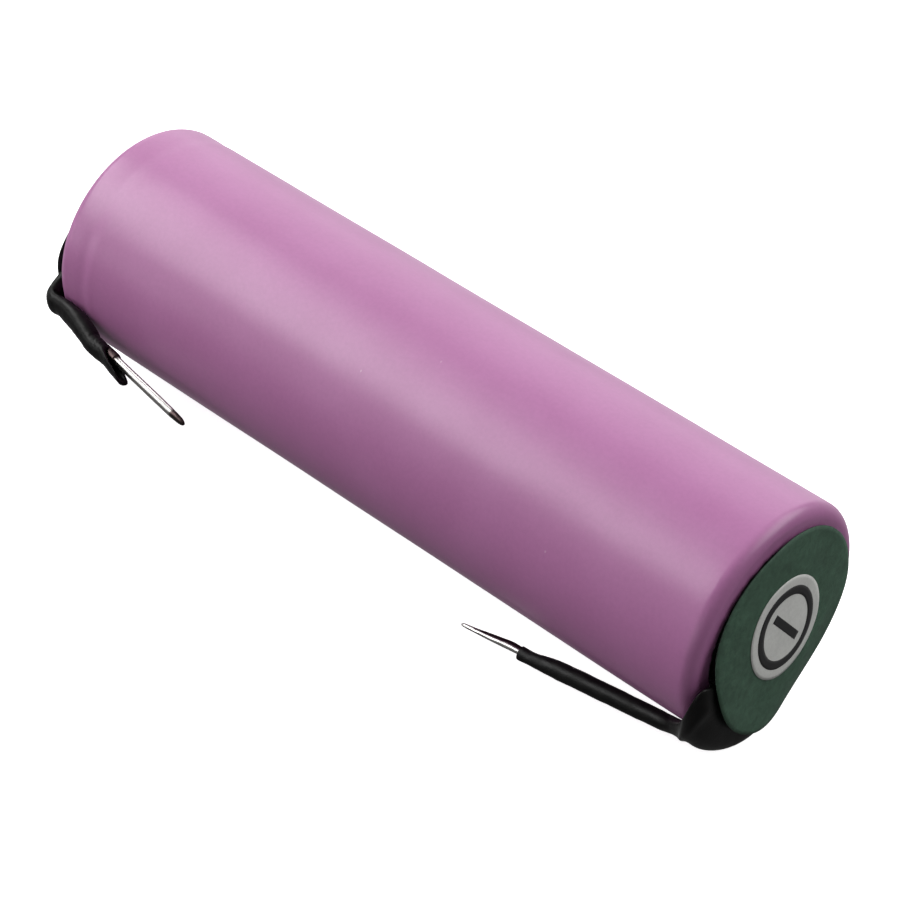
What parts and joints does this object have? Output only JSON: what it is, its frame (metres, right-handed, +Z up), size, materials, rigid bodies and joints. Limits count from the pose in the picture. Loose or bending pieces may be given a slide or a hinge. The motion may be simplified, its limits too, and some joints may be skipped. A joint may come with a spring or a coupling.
{
  "type": "cylindrical battery cell",
  "caption": "Cylindrical lithium-ion cell in a violet heat-shrink sleeve, with an insulating paper disc, a polarity sticker and a bendable insulated solder lead at each end.",
  "frame": {"origin": "on the underside of the sleeve, at the middle of its length, where the lying cell rests", "axes": "+X along the cell's axis, out of its negative end; +Z up; -Y is the side that the leads run along"},
  "size_m": [0.069, 0.0214, 0.0183],
  "materials": {
    "sleeve": "satin",
    "can_steel": "satin",
    "cap_steel": "gloss",
    "gasket_plastic": "satin",
    "ptc_ceramic": "matte",
    "vent_aluminium": "satin",
    "tab_aluminium": "satin",
    "insulator_plastic": "satin",
    "fibre_board": "matte",
    "anode_coating": "matte",
    "cathode_coating": "matte",
    "separator_film": "satin",
    "tape_film": "gloss",
    "nickel": "satin",
    "tinned_nickel": "gloss",
    "insulating_paper": "matte",
    "sticker_paper": "matte",
    "black_heat_shrink": "satin"
  },
  "bodies": {
    "cell": {"shrink_sleeve": "sleeve", "steel_can": "can_steel", "top_cap": "cap_steel", "crimp_gasket": "gasket_plastic", "ptc_ring": "ptc_ceramic", "vent_disc": "vent_aluminium", "interrupt_insulator_ring": "insulator_plastic", "interrupt_disc": "vent_aluminium", "ring_washer": "fibre_board", "top_insulator": "insulator_plastic", "bottom_insulator": "insulator_plastic", "anode_sheet": "anode_coating", "cathode_sheet": "cathode_coating", "separator_inner": "separator_film", "separator_outer": "separator_film", "winding_tape": "tape_film", "centre_pin": "can_steel", "negative_tab": "nickel", "positive_tab": "tab_aluminium", "negative_paper_disc": "insulating_paper", "positive_paper_disc": "insulating_paper", "negative_sticker": "sticker_paper", "positive_sticker": "sticker_paper", "negative_root_shrink": "black_heat_shrink", "positive_root_shrink": "black_heat_shrink", "negative_tag_pad": "nickel", "positive_tag_pad": "nickel"},
    "negative_lead": {"negative_leg_shrink": "black_heat_shrink", "negative_tag_pin": "tinned_nickel"},
    "positive_lead": {"positive_leg_shrink": "black_heat_shrink", "positive_tag_pin": "tinned_nickel"}
  },
  "joints": [
    {"name": "negative_lead_bend", "type": "hinge", "parent": "cell", "child": "negative_lead", "pos_m": [0.0329, -0.00704, 0.00259], "axis": [0, -0.682, 0.7314], "range_deg": [-2, 83]},
    {"name": "positive_lead_bend", "type": "hinge", "parent": "cell", "child": "positive_lead", "pos_m": [-0.0329, -0.00941, 0.00715], "axis": [0, 0.2079, -0.9781], "range_deg": [-3.5, 81]}
  ]
}
